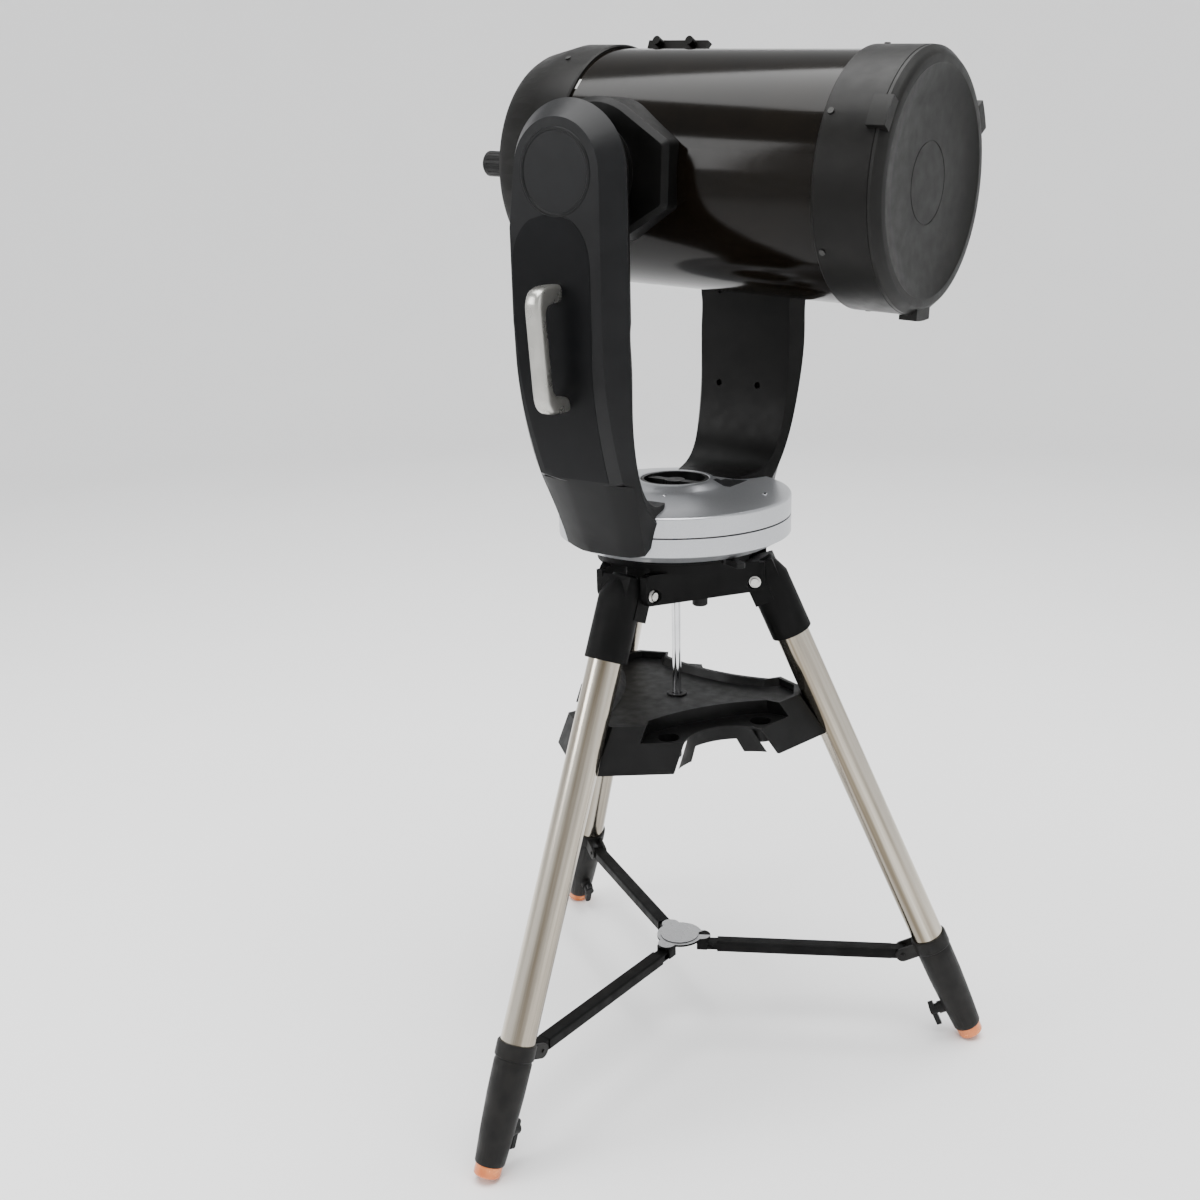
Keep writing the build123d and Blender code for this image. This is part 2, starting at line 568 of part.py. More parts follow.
def base_plate():
    """Stationary plate on the tripod head with the hollow azimuth spindle."""
    plate = cyl_z(118.0, HEAD_TOP_Z, HEAD_TOP_Z + 9.0)
    plate += cyl_z(SPINDLE_R, HEAD_TOP_Z, 894.0)
    plate -= cyl_z(18.0, HEAD_TOP_Z + 20.0, 900.0)
    for angle in MOUNT_BOLT_AZIMUTHS:
        x, y = polar(MOUNT_BOLT_R, angle)
        plate -= cyl_z(5.0 + GAP, 800, 840, x, y)
    save("base_plate", plate)


def azimuth_wheel():
    """Worm wheel fixed on the spindle."""
    wheel = cyl_z(AZ_WHEEL_R, *AZ_WHEEL_Z) - cyl_z(SPINDLE_R, 849.0, 859.0)
    for angle in range(0, 360, 60):
        x, y = polar(70.0, angle)
        wheel -= cyl_z(16.0, 849.0, 859.0, x, y)
    save("azimuth_wheel", wheel)


def azimuth_worm():
    """Worm on the rotating base, beside the azimuth wheel."""
    y = -AZ_WHEEL_R - WORM_R - WORM_GAP
    save("azimuth_worm", worm_shape(y, sum(AZ_WHEEL_Z) / 2, (-24.0, 26.0)))


# ------------------------------------------------------------------ tripod
def tripod_head():
    """Cast head with straight sides and, at each leg, a pair of ears."""
    corners = []
    for azimuth in sorted(LEG_AZIMUTHS.values()):
        base = atan2(-EAR_OUT, HINGE_R + 6.0)
        radius = hypot(EAR_OUT, HINGE_R + 6.0)
        for sign in (1, -1):
            corners.append(polar(radius, azimuth + sign * degrees(base)))
    head = extrude(make_face(Polyline(*[(x, y, HEAD_BOTTOM_Z) for x, y in corners], close=True)),
                   amount=HEAD_TOP_Z - 12.0 - HEAD_BOTTOM_Z, dir=(0, 0, 1))
    head += cyl_z(118.0, HEAD_TOP_Z - 14.0, HEAD_TOP_Z)
    head -= cyl_z(96.0, HEAD_BOTTOM_Z - 1, HEAD_TOP_Z - 14.0) - cyl_z(24.0, HEAD_BOTTOM_Z - 2, HEAD_TOP_Z)
    head += ring_z(96.5, 92.0, HEAD_BOTTOM_Z + 4.0, HEAD_TOP_Z - 13.0)
    for azimuth in LEG_AZIMUTHS.values():
        turn = Rot(0, 0, azimuth)
        for side in (-1, 1):
            inner = side * (EAR_IN + GAP)
            ear = block(80.0, HINGE_R + EAR_ROUND_R, inner, side * EAR_OUT, HINGE_Z, HEAD_TOP_Z - 14.0)
            ear += block(80.0, HINGE_R, inner, side * EAR_OUT, HEAD_BOTTOM_Z, HINGE_Z)
            ear += cyl_y(EAR_ROUND_R, inner, side * EAR_OUT, HINGE_R, HINGE_Z)
            head += turn * ear
        head -= turn * block(84.0, 200.0, -(EAR_IN + GAP), EAR_IN + GAP, 700.0, HEAD_TOP_Z - 8.0)
        head -= turn * cyl_y(5.0, -60.0, 60.0, HINGE_R, HINGE_Z)
        for side in (-1, 1):
            head -= turn * cyl_y(10.5, side * EAR_OUT, side * 70.0, HINGE_R, HINGE_Z)
    for angle in MOUNT_BOLT_AZIMUTHS:
        x, y = polar(MOUNT_BOLT_R, angle)
        head += cyl_z(10.0, HEAD_BOTTOM_Z, HEAD_TOP_Z - 5.0, x, y)
        head -= cyl_z(5.0 + FIT, 700, 900, x, y)
    head -= cyl_z(ROD_R, 700.0, HEAD_TOP_Z - 20.0)
    save("tripod_head", head)


def hinge_bolts():
    """Through bolts of the leg hinges with washers and nuts."""
    solids = []
    for azimuth in LEG_AZIMUTHS.values():
        bolt = cyl_y(HINGE_BOLT_R, -EAR_OUT - 1.0, EAR_OUT + 1.0, HINGE_R, HINGE_Z)
        for side in (-1, 1):
            bolt += cyl_y(9.0, side * EAR_OUT, side * (EAR_OUT + 1.6), HINGE_R, HINGE_Z)
            bolt += cyl_y(6.5, side * (EAR_OUT + 1.6), side * (EAR_OUT + 6.0), HINGE_R, HINGE_Z)
        solids.append(Rot(0, 0, azimuth) * bolt)
    save("hinge_bolts", *solids)


def mounting_bolts():
    """Three captive bolts that hold the base on the head, each with its knob."""
    solids = []
    for angle in MOUNT_BOLT_AZIMUTHS:
        x, y = polar(MOUNT_BOLT_R, angle)
        knob = cyl_z(11.5, 754.0, HEAD_BOTTOM_Z, x, y)
        knob = chamfer(knob.edges().sort_by(Axis.Z)[:1], 1.5)
        solids.append(knob + cyl_z(5.0, 758.0, HEAD_TOP_Z + 8.0, x, y))
    save("mounting_bolts", *solids)


def upper_sleeve(azimuth, name):
    """Sleeve clamped on the top of a leg tube, with the lug that turns on the hinge bolt."""
    hx, hz = leg_local(HINGE_R, HINGE_Z)
    sleeve = cyl_z(SLEEVE_R, 742.0, 836.0)
    sleeve = fillet(sleeve.edges().sort_by(Axis.Z)[:1], 2.0)
    sleeve += Pos(0, 0, 836.0) * extrude(Circle(SLEEVE_R), amount=34.0, taper=22.0)
    lug = block(hx - 2.0, 20.0, -33.0, 33.0, 820.0, 866.0) + cyl_y(16.0, -33.0, 33.0, hx, hz)
    lug += block(hx - 16.0, 10.0, -33.0, 33.0, hz - 40.0, hz)
    lug &= block(-60.0, 60.0, -33.0, 33.0, 742.0, 870.0)
    keep = cyl_z(SLEEVE_R, 700.0, 900.0) + block(-60.0, 0.0, -33.0, 33.0, 798.0, 868.0)
    sleeve += lug & keep
    sleeve -= cyl_z(LEG_TUBE_R, 700.0, LEG_TUBE_D[1])
    sleeve -= cyl_y(HINGE_BOLT_R + FIT, -60.0, 60.0, hx, hz)
    placed = leg_place(sleeve, azimuth)
    placed -= cyl_z(200.0, HEAD_TOP_Z - 9.0, HEAD_TOP_Z + 60.0)
    save(f"upper_sleeve_{name}", placed)


def leg_tube(azimuth, name):
    d0, d1 = LEG_TUBE_D
    tube = ring_z(LEG_TUBE_R, LEG_TUBE_R - LEG_TUBE_WALL, d0, d1)
    save(f"leg_tube_{name}", leg_place(tube, azimuth))


def lower_sleeve(azimuth, name):
    """Moulded sleeve at the bottom of a leg tube: collar, clevis with its pin, clamp boss."""
    body = turned_z([
        (0, 12.0), (21.0, 12.0), (22.0, 14.0), (25.0, 60.0), (27.2, 110.0), (27.8, 158.0), (26.9, 160.0),
        (26.9, 163.0), (29.0, 165.0), (29.0, 184.0), (28.0, 186.0), (0, 186.0)])
    px, pz = leg_local(BAR_OUT_R, BAR_Z)
    for side in (-1, 1):
        body += block(px, -10.0, side * 9.4, side * 13.6, pz - 11.0, pz + 11.0)
        body += cyl_y(11.0, side * 9.4, side * 13.6, px, pz)
    body += cyl_x(10.0, -33.0, 0, 0, CLAMP_D)
    body -= cyl_z(INNER_LEG_R + GAP, 0, 123.0)
    body -= cyl_z(LEG_TUBE_R, LEG_TUBE_D[0], 190.0)
    body -= cyl_x(4.0 + FIT, -40.0, 0, 0, CLAMP_D)
    body -= cyl_y(PIN_R + FIT, -20.0, 20.0, px, pz)
    pin = cyl_y(PIN_R, -15.6, 15.6, px, pz)
    save(f"lower_sleeve_{name}", leg_place(body, azimuth), leg_place(pin, azimuth))


def clamp_knob(azimuth, name):
    """T-handled screw that clamps the inner leg."""
    screw = cyl_x(4.0, -40.0, -19.6, 0, CLAMP_D)
    head = cyl_x(8.0, -47.0, -33.0 - GAP, 0, CLAMP_D)
    wing = block(-46.0, -38.0, -5.0, 5.0, 26.0, 70.0)
    wing = fillet(wing.edges().filter_by(Axis.X), 4.0)
    save(f"clamp_knob_{name}", leg_place(screw + head + wing, azimuth))


def inner_leg(azimuth, name):
    leg = ring_z(INNER_LEG_R, 16.5, TIP_TOP_D, 545.0)
    save(f"inner_leg_{name}", leg_place(leg, azimuth))
    tip = cyl_z(TIP_R, TIP_BOTTOM_D, TIP_TOP_D)
    tip = fillet(tip.edges().sort_by(Axis.Z)[:1], TIP_FILLET)
    tip += cyl_z(16.5, TIP_TOP_D, TIP_TOP_D + 20.0)
    save(f"foot_tip_{name}", leg_place(tip, azimuth))


def spreader_bar(azimuth, name):
    """Bar from the clevis on the leg to the hub; its hub end has a slotted eye."""
    half = BAR_HALF
    bar = block(BAR_IN_R + 24.0, BAR_OUT_R - 18.0, -11.0, 11.0, BAR_Z - 9.0, BAR_Z + 9.0)
    bar = fillet(bar.edges().filter_by(Axis.X), 3.0)
    bar += block(BAR_OUT_R - 20.0, BAR_OUT_R, -half, half, BAR_Z - 8.5, BAR_Z + 8.5)
    bar += cyl_y(8.5, -half, half, BAR_OUT_R, BAR_Z)
    bar += block(BAR_IN_R, BAR_IN_R + 26.0, -half, half, BAR_Z - 6.0, BAR_Z + 6.0)
    bar += cyl_y(6.0, -half, half, BAR_IN_R, BAR_Z)
    bar -= cyl_y(PIN_R + FIT, -20.0, 20.0, BAR_OUT_R, BAR_Z)
    slot = cyl_y(4.2, -20.0, 20.0, BAR_IN_R, BAR_Z) + cyl_y(4.2, -20.0, 20.0, BAR_IN_R + SLOT_LENGTH, BAR_Z)
    slot += block(BAR_IN_R, BAR_IN_R + SLOT_LENGTH, -20.0, 20.0, BAR_Z - 4.2, BAR_Z + 4.2)
    bar -= slot
    save(f"spreader_bar_{name}", Rot(0, 0, azimuth) * bar)


def spreader_hub():
    """Lobed hub plate with three pairs of ears and their pins."""
    plate = cyl_z(37.0, 162.3, 166.0)
    for azimuth in LEG_AZIMUTHS.values():
        x, y = polar(36.0, azimuth)
        plate += cyl_z(14.5, 162.3, 166.0, x, y)
    plate -= cyl_z(31.0, 165.2, 167.0)
    for azimuth in LEG_AZIMUTHS.values():
        turn = Rot(0, 0, azimuth)
        for side in (-1, 1):
            ear = block(29.0, 46.0, side * 9.4, side * 12.6, BAR_Z - 5.0, 162.4)
            plate += turn * ear
        plate += turn * cyl_y(2.5, -12.6, 12.6, BAR_IN_R, BAR_Z)
    save("spreader_hub", plate, cyl_z(31.0, 165.2, 167.2))


def tray_face_point(z, t, inset):
    """Point on a slanted end face, as (radius, angle from the leg), t to the side of the leg."""
    c, s = cos(radians(TRAY_FACE_TURN)), sin(radians(TRAY_FACE_TURN))
    distance = 161.0 + (TRAY_LIP_Z - z) * 0.538 - inset
    x = (distance - t * s) / c
    return hypot(x, t), degrees(atan2(t, x))


def tray_wire(z, corner_t, bay, inset=0.0, step_in=None):
    """Closed outline at one height: a blunt end at each leg and an arched bay between the legs."""
    edges = []
    ends = []
    for azimuth in sorted(LEG_AZIMUTHS.values()):
        tip_r, tip_a = tray_face_point(z, 20.0, inset)
        corner_r, corner_a = tray_face_point(z, corner_t, inset)
        outer = [(corner_r, corner_a), (tip_r, tip_a)]
        if step_in:
            outer.insert(0, (step_in - inset, corner_a - 1.0))
        left = [polar(r, azimuth - a) for r, a in outer]
        right = [polar(r, azimuth + a) for r, a in reversed(outer)]
        ends.append((left + right, polar(bay - inset, azimuth + 60.0)))
    for i, (points, middle) in enumerate(ends):
        following = ends[(i + 1) % 3][0][0]
        for a, b in zip(points, points[1:]):
            edges.append(Line((*a, z), (*b, z)))
        edges.append(ThreePointArc((*points[-1], z), (*middle, z), (*following, z)))
    return make_face(Wire(edges))


def tray():
    """Accessory tray: skirt, lower shelf with eyepiece holes, raised deck with a rolled lip."""
    def skirt(z, inset=0.0):
        return tray_wire(z, 108.0, 128.0 + (TRAY_SHELF_Z - z) * 0.2, inset)

    def deck(z, inset=0.0):
        return tray_wire(z, 58.0 - inset, 96.0, inset, 149.0)

    wall = 3.5
    shape = loft([skirt(TRAY_SKIRT_Z), skirt(TRAY_SHELF_Z)], ruled=True)
    shape -= loft([skirt(TRAY_SKIRT_Z - 1.0, wall), skirt(TRAY_SHELF_Z - wall, wall)], ruled=True)
    shape += loft([deck(TRAY_SHELF_Z - 2.0), deck(TRAY_LIP_Z)], ruled=True)
    shape -= loft([deck(TRAY_SHELF_Z - 5.0, wall), deck(TRAY_FLOOR_Z - 4.0, wall)], ruled=True)
    shape -= loft([deck(TRAY_FLOOR_Z, 13.0), deck(TRAY_LIP_Z + 1.0, 6.0)], ruled=True)
    for azimuth in LEG_AZIMUTHS.values():
        for side in (-1, 1):
            hole_r, hole_angle = TRAY_HOLE_PLACE
            x, y = polar(hole_r, azimuth + side * hole_angle)
            shape += cyl_z(TRAY_HOLE_R + wall, TRAY_SHELF_Z - TRAY_CUP_DEPTH - wall, TRAY_SHELF_Z, x, y)
            shape -= cyl_z(TRAY_HOLE_R, TRAY_SHELF_Z - TRAY_CUP_DEPTH, TRAY_SHELF_Z + 5.0, x, y)
        low, high = ARCH_HALF
        arch = [(-low, TRAY_SKIRT_Z - 5.0), (low, TRAY_SKIRT_Z - 5.0), (high, TRAY_SKIRT_Z + 20.0),
                (-high, TRAY_SKIRT_Z + 20.0)]
        arch = make_face(Polyline(*[(90.0, y, z) for y, z in arch], close=True))
        shape -= Rot(0, 0, azimuth + 60.0) * extrude(arch, amount=130.0, dir=(1, 0, 0))
        cradle = cyl_z(LEG_TUBE_R + 0.5, 450.0, 720.0)
        cradle += block(0, 60.0, -LEG_TUBE_R - 0.5, LEG_TUBE_R + 0.5, 450.0, 720.0)
        shape -= leg_place(cradle, azimuth)
    shape += cyl_z(24.0, TRAY_FLOOR_Z - 10.0, TRAY_FLOOR_Z)
    shape -= cyl_z(ROD_R + GAP, 500.0, 600.0)
    save("accessory_tray", shape)


def tension_knob():
    """Three-armed knob that holds the tray up on the rod."""
    top = TRAY_FLOOR_Z - 10.0 - GAP
    knob = cyl_z(16.0, top - 24.0, top)
    for angle in (30, 150, 270):
        x, y = polar(26.0, angle)
        knob += cyl_z(9.0, top - 22.0, top - 6.0, x, y)
        knob += Rot(0, 0, angle) * block(0, 26.0, -7.0, 7.0, top - 22.0, top - 6.0)
    knob -= cyl_z(ROD_R + FIT, 500.0, 600.0)
    save("tension_knob", knob)


def centre_rod():
    save("centre_rod", cyl_z(ROD_R, ROD_BOTTOM_Z, HEAD_TOP_Z - 20.0))


# ------------------------------------------------------------------ build every node
optical_tube()
front_cell()
corrector_plate()
secondary_mirror()
baffle_tube()
primary_mirror()
rear_cell()
visual_back()
focus_knob()
lens_cover()
side_plates()
altitude_wheel()
finder_bracket()
cell_screws()
arms()
carry_handles()
bearings()
altitude_worm()
drive_motors()
altitude_clutch()
base_cover()
centre_cap()
base_shell()
port_panel()
power_switch()
azimuth_clutch()
base_plate()
azimuth_wheel()
azimuth_worm()
tripod_head()
hinge_bolts()
mounting_bolts()
for leg_name, leg_azimuth in LEG_AZIMUTHS.items():
    upper_sleeve(leg_azimuth, leg_name)
    leg_tube(leg_azimuth, leg_name)
    lower_sleeve(leg_azimuth, leg_name)
    clamp_knob(leg_azimuth, leg_name)
    inner_leg(leg_azimuth, leg_name)
    spreader_bar(leg_azimuth, leg_name)
spreader_hub()
tray()
tension_knob()
centre_rod()
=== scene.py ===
import bpy
import bmesh
import json
import math
from mathutils import Matrix, Vector
from mathutils.bvhtree import BVHTree


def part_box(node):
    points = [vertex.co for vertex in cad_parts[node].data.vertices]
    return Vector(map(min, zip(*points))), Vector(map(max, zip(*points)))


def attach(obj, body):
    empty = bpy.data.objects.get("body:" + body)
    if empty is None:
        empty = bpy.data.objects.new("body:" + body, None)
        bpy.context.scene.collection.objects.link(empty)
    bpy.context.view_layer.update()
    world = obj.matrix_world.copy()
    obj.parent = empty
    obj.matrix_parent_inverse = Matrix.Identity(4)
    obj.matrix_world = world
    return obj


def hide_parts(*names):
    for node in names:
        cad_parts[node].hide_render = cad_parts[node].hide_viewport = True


# Looks of the telescope, its fork mount and its tripod.  Lengths in helpers are millimetres,
# everything in Blender is metres, in the same frame as the CAD.
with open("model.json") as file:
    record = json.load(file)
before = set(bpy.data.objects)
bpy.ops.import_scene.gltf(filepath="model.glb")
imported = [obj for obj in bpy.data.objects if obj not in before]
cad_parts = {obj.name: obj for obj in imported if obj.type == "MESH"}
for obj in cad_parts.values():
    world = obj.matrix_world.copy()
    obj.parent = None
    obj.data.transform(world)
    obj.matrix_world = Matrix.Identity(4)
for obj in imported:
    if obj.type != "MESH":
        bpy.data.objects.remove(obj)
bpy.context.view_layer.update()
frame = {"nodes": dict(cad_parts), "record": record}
joints = {j["name"]: j for j in frame["record"]["behaviour"]["joints"]}
MM = 0.001
LEGS = ("a", "b", "c")


# ---------------------------------------------------------------- frames
def axes_matrix(origin, x, y, z):
    """Placement with its origin and its three axes given as vectors."""
    m = Matrix((x, y, z)).transposed().to_4x4()
    m.translation = origin
    return m


altitude = Vector(joints["altitude"]["pos_m"])
optical = Vector(joints["lens_cover_off"]["axis"])
tube_up = optical.cross(Vector((0, 1, 0)))
TUBE = axes_matrix(altitude, optical, Vector((0, 1, 0)), tube_up)      # +X along the optical axis
WORLD = Matrix.Identity(4)


def node_centre(node):
    low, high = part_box(node)
    return (low + high) / 2


LEG_TUBE_D = (122.0, 800.0)             # ends of a leg tube, along the leg from its foot point
LEG = {}                                # each leg's frame: +Z up along it, +X outward
for k in LEGS:
    up = -Vector(joints[f"foot_{k}_extend"]["axis"])
    out = Vector((-up.x, -up.y, 0)).normalized()
    x_axis = (out - up * out.dot(up)).normalized()
    foot = node_centre(f"leg_tube_{k}") - up * (sum(LEG_TUBE_D) / 2 * MM)
    LEG[k] = axes_matrix(foot, x_axis, up.cross(x_axis), up)


# ---------------------------------------------------------------- materials
COAT_ROUGH = 0.04
COLOR_BAND = (0.35, 0.65)               # noise values between which the two colours mix
ROUGH_BAND = (0.3, 0.7)                 # noise values between which the two roughnesses mix


def material(name, color, rough, metallic=0.0, color2=None, color_scale=25.0, rough2=None,
             rough_scale=60.0, bump=0.0, bump_scale=900.0, bump_depth=0.0004, stretch=(1, 1, 1),
             coat=0.0, specular=0.5, fade=None):
    """Procedural surface: broken colour, broken gloss and a fine relief in object space.

    fade gives a lower and an upper height in mm and the colour below them."""
    mat = bpy.data.materials.new(name)
    mat.use_nodes = True
    nodes, links = mat.node_tree.nodes, mat.node_tree.links
    bsdf = nodes["Principled BSDF"]
    bsdf.inputs["Metallic"].default_value = metallic
    bsdf.inputs["Specular IOR Level"].default_value = specular
    bsdf.inputs["Coat Weight"].default_value = coat
    bsdf.inputs["Coat Roughness"].default_value = COAT_ROUGH
    place = nodes.new("ShaderNodeTexCoord")
    mapping = nodes.new("ShaderNodeMapping")
    mapping.inputs["Scale"].default_value = stretch
    links.new(place.outputs["Object"], mapping.inputs["Vector"])

    def noise(scale, detail=4.0):
        n = nodes.new("ShaderNodeTexNoise")
        n.inputs["Scale"].default_value = scale
        n.inputs["Detail"].default_value = detail
        links.new(mapping.outputs["Vector"], n.inputs["Vector"])
        return n.outputs["Fac"]

    ramp = nodes.new("ShaderNodeValToRGB")
    ramp.color_ramp.elements[0].position = COLOR_BAND[0]
    ramp.color_ramp.elements[1].position = COLOR_BAND[1]
    ramp.color_ramp.elements[0].color = (*color, 1)
    ramp.color_ramp.elements[1].color = (*(color2 or [c * 1.25 for c in color]), 1)
    links.new(noise(color_scale), ramp.inputs["Fac"])
    if fade:
        low, high, low_color = fade
        height = nodes.new("ShaderNodeSeparateXYZ")
        links.new(place.outputs["Object"], height.inputs["Vector"])
        step = nodes.new("ShaderNodeMapRange")
        step.inputs["From Min"].default_value = low * MM
        step.inputs["From Max"].default_value = high * MM
        links.new(height.outputs["Z"], step.inputs["Value"])
        mix = nodes.new("ShaderNodeMix")
        mix.data_type = "RGBA"
        mix.inputs["A"].default_value = (*low_color, 1)
        links.new(step.outputs["Result"], mix.inputs["Factor"])
        links.new(ramp.outputs["Color"], mix.inputs["B"])
        links.new(mix.outputs["Result"], bsdf.inputs["Base Color"])
    else:
        links.new(ramp.outputs["Color"], bsdf.inputs["Base Color"])
    span = nodes.new("ShaderNodeMapRange")
    span.inputs["From Min"].default_value = ROUGH_BAND[0]
    span.inputs["From Max"].default_value = ROUGH_BAND[1]
    span.inputs["To Min"].default_value = rough
    span.inputs["To Max"].default_value = rough2 if rough2 is not None else rough * 1.2
    links.new(noise(rough_scale), span.inputs["Value"])
    links.new(span.outputs["Result"], bsdf.inputs["Roughness"])
    if bump:
        relief = nodes.new("ShaderNodeBump")
        relief.inputs["Strength"].default_value = bump
        relief.inputs["Distance"].default_value = bump_depth
        links.new(noise(bump_scale, 3.0), relief.inputs["Height"])
        links.new(relief.outputs["Normal"], bsdf.inputs["Normal"])
    return mat


tube_paint = material("tube_paint", (0.0022, 0.0016, 0.0010), 0.10, color2=(0.0040, 0.0029, 0.0018),
                      color_scale=9.0, rough2=0.13, bump=0.02, bump_scale=90.0, specular=0.14)
cast_black = material("cast_black", (0.0020, 0.0020, 0.0019), 0.38, color2=(0.0034, 0.0033, 0.0031),
                      rough2=0.48, bump=0.4, bump_scale=1000.0, bump_depth=0.0003, specular=0.12)
cell_black = material("cell_black", (0.0026, 0.0024, 0.0021), 0.34, color2=(0.0042, 0.0039, 0.0034),
                      rough2=0.44, bump=0.25, bump_scale=800.0, bump_depth=0.0003, specular=0.14)
cover_black = material("cover_black", (0.0042, 0.0041, 0.0037), 0.40, color2=(0.0060, 0.0058, 0.0052),
                       rough2=0.5, bump=0.3, bump_scale=1400.0, bump_depth=0.0002, specular=0.18)
hood_grey = material("hood_grey", (0.0040, 0.0042, 0.0046), 0.36, color2=(0.0058, 0.0060, 0.0066),
                     rough2=0.42, bump=0.3, bump_scale=1300.0, bump_depth=0.0003, specular=0.16,
                     fade=(958.0, 990.0, (0.0016, 0.0017, 0.0019)))
panel_black = material("panel_black", (0.0014, 0.0016, 0.0020), 0.36, color2=(0.0022, 0.0024, 0.0030),
                       rough2=0.4, bump=0.25, bump_scale=1400.0, bump_depth=0.0002, specular=0.10)
silver = material("silver", (0.46, 0.47, 0.49), 0.30, metallic=0.8, color2=(0.54, 0.55, 0.57),
                  color_scale=900.0, rough2=0.38, rough_scale=300.0, bump=0.12, bump_scale=1800.0,
                  bump_depth=0.0002)
grip_silver = material("grip_silver", (0.38, 0.375, 0.35), 0.25, metallic=0.9, color2=(0.42, 0.415, 0.39),
                       color_scale=60.0, rough2=0.33, rough_scale=50.0, bump=0.03, bump_scale=500.0,
                       bump_depth=0.0002)
tripod_black = material("tripod_black", (0.0014, 0.0014, 0.0014), 0.46, color2=(0.0032, 0.0032, 0.0032),
                        rough2=0.6, bump=0.5, bump_scale=1000.0, bump_depth=0.0004, specular=0.10)
sleeve_black = material("sleeve_black", (0.0030, 0.0028, 0.0026), 0.36, color2=(0.0080, 0.0074, 0.0066),
                        color_scale=45.0, rough2=0.58, rough_scale=30.0, bump=0.5, bump_scale=700.0,
                        bump_depth=0.0004, specular=0.2)
plastic_black = material("plastic_black", (0.0018, 0.0018, 0.0018), 0.38, color2=(0.0036, 0.0036, 0.0036),
                         rough2=0.52, bump=0.3, bump_scale=1300.0, bump_depth=0.0003, specular=0.2)
# Brushed steel of the leg tubes: colour streaks stretched along the leg, partly real grain and partly
# painted reflection, a painted bright highlight line with dark bands beside it.
stainless_painted_reflection = material("stainless_painted_reflection", (0.17, 0.14, 0.10), 0.12, metallic=1.0, color2=(0.52, 0.48, 0.41),
                     color_scale=70.0, rough2=0.24, rough_scale=90.0, stretch=(1, 1, 0.015), bump=0.06,
                     bump_scale=420.0, bump_depth=0.0002)
inner_black = material("inner_black", (0.006, 0.006, 0.006), 0.3, rough2=0.42, bump=0.1)
tip_orange = material("tip_orange", (0.55, 0.13, 0.025), 0.2, metallic=0.35, color2=(0.68, 0.21, 0.05),
                      color_scale=60.0, rough2=0.3, bump=0.1, bump_scale=300.0, coat=0.6)
bolt_steel = material("bolt_steel", (0.52, 0.51, 0.49), 0.22, metallic=1.0, color2=(0.62, 0.61, 0.59),
                      rough2=0.34, bump=0.08, bump_scale=700.0)
dark_screw = material("dark_screw", (0.02, 0.02, 0.02), 0.28, metallic=0.6, color2=(0.035, 0.035, 0.033),
                      rough2=0.4, bump=0.1, bump_scale=700.0)
chrome = material("chrome", (0.62, 0.63, 0.65), 0.07, metallic=1.0, color2=(0.72, 0.72, 0.74),
                  rough2=0.12, bump=0.02, bump_scale=200.0)
brass = material("brass", (0.62, 0.43, 0.16), 0.25, metallic=1.0, color2=(0.70, 0.50, 0.21), rough2=0.35,
                 bump=0.1)
motor_grey = material("motor_grey", (0.20, 0.20, 0.21), 0.35, metallic=0.6, color2=(0.26, 0.26, 0.27),
                      rough2=0.45, bump=0.15)
badge_silver = material("badge_silver", (0.55, 0.55, 0.56), 0.25, metallic=1.0, color2=(0.66, 0.66, 0.67),
                        color_scale=400.0, rough2=0.35, stretch=(1, 12, 1), bump=0.1)
mirror_glass = material("mirror_glass", (0.85, 0.86, 0.88), 0.02, metallic=1.0, bump=0.01)
label_grey = material("label_grey", (0.010, 0.010, 0.012), 0.33, color2=(0.015, 0.015, 0.017), rough2=0.42)
label_white = material("label_white", (0.34, 0.34, 0.33), 0.5, color2=(0.42, 0.42, 0.41), rough2=0.55)

corrector_glass = bpy.data.materials.new("corrector_glass")
corrector_glass.use_nodes = True
glass = corrector_glass.node_tree.nodes["Principled BSDF"]
glass.inputs["Base Color"].default_value = (0.9, 0.96, 0.93, 1)
glass.inputs["Roughness"].default_value = 0.02
glass.inputs["Transmission Weight"].default_value = 1.0
glass.inputs["IOR"].default_value = 1.52


# ---------------------------------------------------------------- mesh helpers
def mesh_of(bm, name):
    """Mesh from a closed bmesh, with its faces turned outward."""
    bmesh.ops.recalc_face_normals(bm, faces=bm.faces)
    mesh = bpy.data.meshes.new(name)
    bm.to_mesh(mesh)
    bm.free()
    return mesh


def add_object(name, data):
    ob = bpy.data.objects.new(name, data)
    bpy.context.scene.collection.objects.link(ob)
    return ob


BEVEL_STEPS = 2


def finish_piece(name, mesh, mats, matrix, body, stands_for=(), bevel=0.5, angle=32.0):
    """Object from a mesh, with smooth faces, small rounded edges, and its body."""
    ob = add_object(name, mesh)
    for m in mats:
        mesh.materials.append(m)
    mesh.shade_smooth()
    mesh.set_sharp_from_angle(angle=math.radians(angle))
    if bevel:
        mod = ob.modifiers.new("edges", "BEVEL")
        mod.width = bevel * MM
        mod.segments = BEVEL_STEPS
        mod.limit_method = "ANGLE"
        mod.angle_limit = math.radians(angle)
        mod.harden_normals = False
    ob.matrix_world = matrix
    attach(ob, body)
    if stands_for:
        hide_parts(*stands_for)


